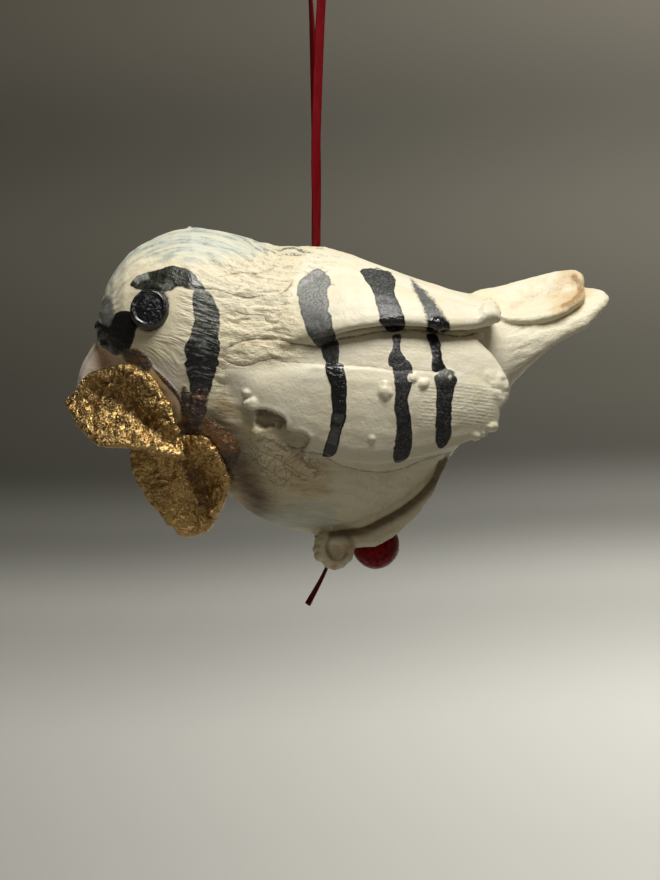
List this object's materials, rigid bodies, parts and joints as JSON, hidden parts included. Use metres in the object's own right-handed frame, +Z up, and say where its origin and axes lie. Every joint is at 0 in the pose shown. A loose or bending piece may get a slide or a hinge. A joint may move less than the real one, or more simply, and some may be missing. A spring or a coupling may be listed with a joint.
{
  "type": "porcelain bird ornament",
  "caption": "Hand-built porcelain bird that hangs on a thin red cord, with layered slab wings, painted stripes, black bead eyes and gilded leaves at its beak.",
  "frame": {"origin": "top of the cord's hanging loop", "axes": "+Z up; -X toward the beak and +X toward the tail; -Y toward the bird's left side, which carries the leaves"},
  "size_m": [0.0897, 0.045, 0.1132],
  "materials": {
    "porcelain": "unglazed, with satin patches",
    "black_glaze": "gloss",
    "gold_leaf": "crinkled gold leaf",
    "red_cord": "satin",
    "red_bead": "gloss"
  },
  "bodies": {
    "root": {"bird": "porcelain", "eye_left": "black_glaze", "eye_right": "black_glaze", "gilded_leaf_upper": "gold_leaf", "gilded_leaf_lower": "gold_leaf", "cord": "red_cord", "stopper_bead": "red_bead"}
  },
  "joints": []
}
